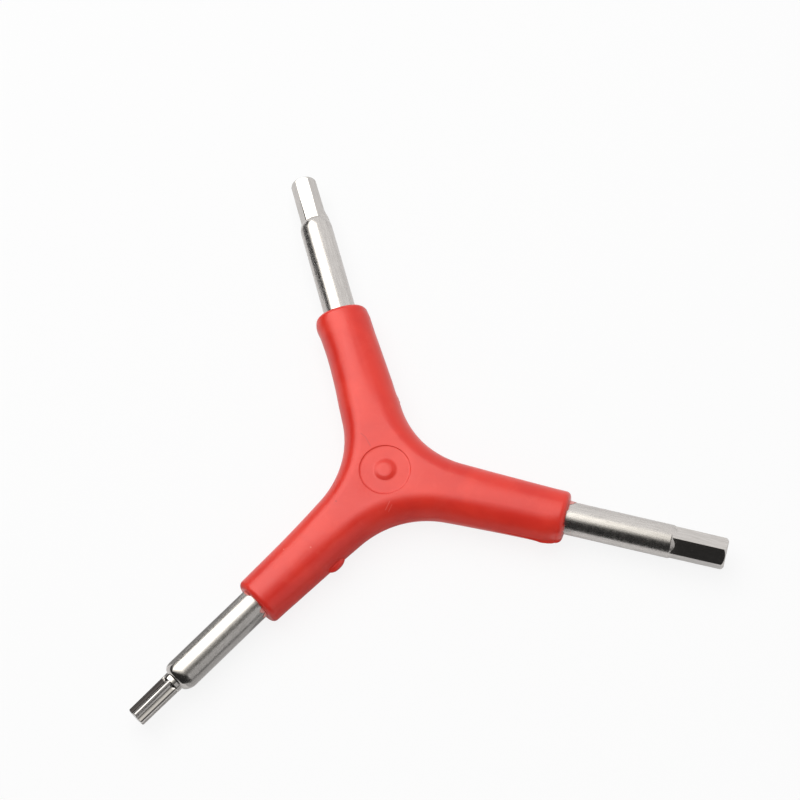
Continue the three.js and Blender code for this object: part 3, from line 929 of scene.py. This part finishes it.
def red_plastic():
    material, n, shader = new_material("grip_plastic")
    position = n.position()
    flow = n.noise(position, *FLOW)
    colour = n.mix(n.ramp(n.noise(position, *CLOUDS), 0.35, 0.65), RED_DEEP, RED_FRESH)
    colour = n.mix(n.times(n.ramp(flow, 0.5, 0.75), 0.25), colour, RED_PALE)
    mottle = n.noise(position, *PLASTIC_MOTTLE)
    colour = n.mix(n.times(n.ramp(mottle, 0.5, 0.75), 0.08), colour, RED_DEEP)
    x, y, z = n.split(position)
    upper = n.ramp(z, MARKS_FROM * MM, MARKS_FULL * MM)
    for start, end, half, share, tone in MARKS:
        marked = n.times(n.stroke(x, y, start, end, half), upper)
        colour = n.mix(n.times(marked, share), colour, tone)
    colour = n.mix(n.times(n.attribute("film"), FILM_SHARE), colour, FILM_COLOUR)
    n.put(shader.inputs["Base Color"], colour)
    shader.inputs["IOR"].default_value = PLASTIC_IOR
    n.put(shader.inputs["Roughness"], n.ramp(flow, 0.3, 0.7, PLASTIC_SMOOTHEST, PLASTIC_ROUGHEST))
    wavy = n.bump(n.noise(position, *WAVES), 0.12 * MM, 0.5)
    n.put(shader.inputs["Normal"], n.bump(n.noise(position, *GRAIN), 0.008 * MM, 0.35, wavy))
    return material


def plated_steel():
    material, n, shader = new_material("key_steel")
    along, across, up = (n.attribute(a) for a in ("along", "across", "up"))
    drawn = n.vector(n.times(along, STREAK_STRETCH), across, up)
    even = n.vector(along, across, up)
    streaks = n.noise(drawn, *STREAKS)
    mottle = n.noise(even, *STEEL_MOTTLE)
    colour = n.mix(n.ramp(streaks, 0.35, 0.65), STEEL_DULL, STEEL_BRIGHT)
    colour = n.mix(n.times(n.ramp(mottle, 0.5, 0.75), 0.3), colour, STEEL_DULL)
    colour = n.mix(n.times(n.ramp(n.noise(even, *DUST), 0.62, 0.78), 0.35), colour, STEEL_DARK)
    fluted = n.attribute("fluted")
    turn = n.math("ARCTAN2", up, across)
    # Painted shade: the flutes turn near-black in bands at fixed turns round the tip
    for middle, half, share in PAINTED_SHADE_BANDS:
        off = n.math("ABSOLUTE", n.math("SUBTRACT", turn, middle))
        painted_shade = n.times(n.ramp(off, half, half - PAINTED_SHADE_EDGE), share)
        colour = n.mix(n.times(painted_shade, fluted), colour, PAINTED_SHADE_COLOUR)
    n.put(shader.inputs["Base Color"], colour)
    shader.inputs["Metallic"].default_value = 1.0
    fine = n.ramp(n.noise(drawn, *FINE_STREAKS), 0.4, 0.7, 0.0, 0.07)
    rough = n.math("ADD", n.ramp(mottle, 0.35, 0.7, 0.22, 0.29), fine)
    polish = n.ramp(n.attribute("tip"), 0.0, 1.0, 1.0, TIP_POLISH)
    n.put(shader.inputs["Roughness"], n.times(rough, polish))
    relief = n.bump(streaks, 0.01 * MM, 0.35)
    n.put(shader.inputs["Normal"], n.bump(mottle, 0.02 * MM, 0.25, relief))
    return material


# ---------------------------------------------------------------- floor and light, metres
FLOOR_HALF, FLOOR_TONE, FLOOR_ROUGHNESS = 4.0, 0.93, 0.9
# How much of the floor's look is plain white: for the camera, and in reflections
FLOOR_GLOW, FLOOR_GLOW_REFLECTED = 0.86, 0.25
SKY_LIGHT, SKY_SEEN = 0.37, 1.0
SOFTBOX_CENTRE, SOFTBOX_SIZE, SOFTBOX_RADIANCE = (-0.15, 0.16, 0.62), (0.62, 0.75), 2.2
FACE_HEIGHT, FACE_COLOUR = 0.63, (1.0, 0.99, 0.94, 1)
FACE_PLAN = (
    (-1.05, -0.6), (0.55, -0.6), (0.55, 0.26), (0.0, 0.27), (-0.05, 0.285), (-0.12, 0.36), (-0.25, 0.46),
    (-0.86, 0.96), (-1.05, 0.78),
)
# Brightness of the softbox's face from front to back and from left to right: (place, brightness)
FACE_FRONT = (
    (-0.60, 0.03), (-0.50, 0.08), (-0.35, 0.22), (-0.23, 0.6), (-0.12, 1.4), (-0.04, 2.7), (0.03, 3.3),
)
FACE_RIGHT = (
    (-0.14, 3.3), (-0.06, 3.0), (-0.02, 2.1), (0.03, 1.1), (0.08, 0.68), (0.14, 0.46), (0.22, 0.28),
    (0.33, 0.15), (0.46, 0.10),
)
CARD_HEIGHT, CARD_FOOT = 0.0004, 0.002


def lying(*plan):
    """Corners of a card that lies just over the floor."""
    return [(x, y, CARD_HEIGHT) for x, y in plan]


def standing(start, end, top, lean=0.0):
    """Corners of a card that stands on a line, up to a height; its top can lean along X."""
    (x1, y1), (x2, y2) = start, end
    return [(x1, y1, CARD_FOOT), (x2, y2, CARD_FOOT), (x2 + lean, y2, top), (x1 + lean, y1, top)]


# Cards that only reflections see: (name, tone from 0, black, to 1, white, corners)
CARDS = (
    ("card_front", 0.03, standing((-0.9, -0.33), (0.45, -0.33), 0.60)),
    ("card_front_low", 0.03, lying(
        (0.02, -0.042), (0.12, -0.022), (0.4, -0.022), (0.4, -0.33), (-0.05, -0.33), (-0.05, -0.11))),
    ("card_left", 0.03, standing((-0.75, -0.5), (-0.75, 0.55), 0.36)),
    ("card_left_low", 0.03, lying((-0.042, 0.034), (-0.060, 0.066), (-0.75, 0.066), (-0.75, 0.034))),
    ("card_star_low", 0.3, lying(
        (-0.0245, -0.029), (-0.112, 0.030), (-0.125, 0.005), (-0.0365, -0.050))),
    ("card_right", 0.62, standing((0.62, -0.42), (0.62, 0.06), 0.5, -0.12)),
    # card_crotch_low and card_right_low lie where the object's shadow falls on the floor: their grey is
    # painted shade for reflections of the floor
    ("card_crotch_low", 0.25, lying(
        (0.002, -0.009), (0.038, -0.0075), (0.040, -0.021), (0.020, -0.041), (-0.018, -0.040))),
    ("card_right_low", 0.5, lying(
        (-0.018, -0.040), (0.020, -0.041), (0.012, -0.070), (-0.022, -0.070), (-0.026, -0.056))),
)


def plain_mesh(name, corners, material):
    """One flat face for the stage."""
    mesh = bpy.data.meshes.new(name)
    mesh.from_pydata(corners, [], [tuple(range(len(corners)))])
    item = bpy.data.objects.new(name, mesh)
    bpy.context.scene.collection.objects.link(item)
    item.data.materials.append(material)
    return item


def floor():
    """A pale floor that shades, is nearly white to the camera, and is clear from below."""
    material, n, shader = new_material("pale_floor")
    shader.inputs["Base Color"].default_value = (FLOOR_TONE, FLOOR_TONE, FLOOR_TONE, 1)
    shader.inputs["Roughness"].default_value = FLOOR_ROUGHNESS
    shader.inputs["Specular IOR Level"].default_value = 0.0
    white = n.new("ShaderNodeEmission").outputs[0]
    clear = n.new("ShaderNodeBsdfTransparent").outputs[0]
    below = n.new("ShaderNodeNewGeometry").outputs["Backfacing"]
    path = n.new("ShaderNodeLightPath").outputs
    seen = n.times(n.math("MAXIMUM", path["Is Camera Ray"], path["Is Transmission Ray"]), FLOOR_GLOW)
    glow = n.math("MAXIMUM", seen, n.times(path["Is Glossy Ray"], FLOOR_GLOW_REFLECTED))
    lit = n.mix_shaders(glow, shader.outputs[0], white)
    output = material.node_tree.nodes["Material Output"]
    n.link(n.mix_shaders(below, lit, clear), output.inputs["Surface"])
    plan = ((-1, -1), (1, -1), (1, 1), (-1, 1))
    plain_mesh("floor", [(x * FLOOR_HALF, y * FLOOR_HALF, 0) for x, y in plan], material)


def world():
    """White all round as it is seen, dimmer as a light."""
    sky = bpy.data.worlds.new("world")
    bpy.context.scene.world = sky
    sky.use_nodes = True
    n = Nodes(sky.node_tree)
    ground = sky.node_tree.nodes["Background"]
    path = n.new("ShaderNodeLightPath").outputs
    seen = n.math("MAXIMUM", path["Is Camera Ray"], path["Is Glossy Ray"])
    seen = n.math("MAXIMUM", seen, path["Is Transmission Ray"])
    ground.inputs["Color"].default_value = (1, 1, 1, 1)
    n.put(ground.inputs["Strength"], n.ramp(seen, 0.0, 1.0, SKY_LIGHT, SKY_SEEN))


def softbox():
    """The light itself, aimed at the hub's foot; reflections see softbox_face instead."""
    light = bpy.data.lights.new("softbox", "AREA")
    light.shape = "RECTANGLE"
    light.size, light.size_y = SOFTBOX_SIZE
    light.energy = SOFTBOX_RADIANCE * math.pi * SOFTBOX_SIZE[0] * SOFTBOX_SIZE[1]
    item = bpy.data.objects.new("softbox", light)
    bpy.context.scene.collection.objects.link(item)
    item.location = SOFTBOX_CENTRE
    item.rotation_mode = "QUATERNION"
    item.rotation_quaternion = (-Vector(SOFTBOX_CENTRE)).to_track_quat("-Z", "Y")
    item.visible_glossy = False


def card(name, tone, corners):
    """A card that only reflections see, of one even tone."""
    material, n, shader = new_material(name)
    shader.inputs["Base Color"].default_value = (0, 0, 0, 1)
    shader.inputs["Specular IOR Level"].default_value = 0.0
    shader.inputs["Emission Color"].default_value = (1, 1, 1, 1)
    shader.inputs["Emission Strength"].default_value = tone
    item = plain_mesh(name, corners, material)
    item.visible_camera = False
    item.visible_diffuse = False
    item.visible_shadow = False
    item.visible_transmission = False
    return n, shader


def softbox_face():
    """What reflections see of the softbox: bright over the back left, fading to the front and the right."""
    n, shader = card("softbox_face", 1.0, [(x, y, FACE_HEIGHT) for x, y in FACE_PLAN])
    x, y, _ = n.split(n.position())
    fading = n.math("MINIMUM", n.curve(y, FACE_FRONT), n.curve(x, FACE_RIGHT))
    n.put(shader.inputs["Emission Strength"], fading)
    shader.inputs["Emission Color"].default_value = FACE_COLOUR


# ---------------------------------------------------------------- the object and its stage
add_camera()
plastic = red_plastic()
steel = plated_steel()
pieces = (
    (grip(), "grip", "grip_plastic", plastic),
    (large_hex_key(), "hex_key_large", "key_steel", steel),
    (small_hex_key(), "hex_key_small", "key_steel", steel),
    (star_key(), "star_key", "key_steel", steel),
)
for item, node, slot, material in pieces:
    item.data.materials.append(material)
    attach(item, "root")
    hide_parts(node)
floor()
world()
softbox()
softbox_face()
for name, tone, corners in CARDS:
    card(name, tone, corners)

scene = bpy.context.scene
scene.view_settings.view_transform = "Standard"
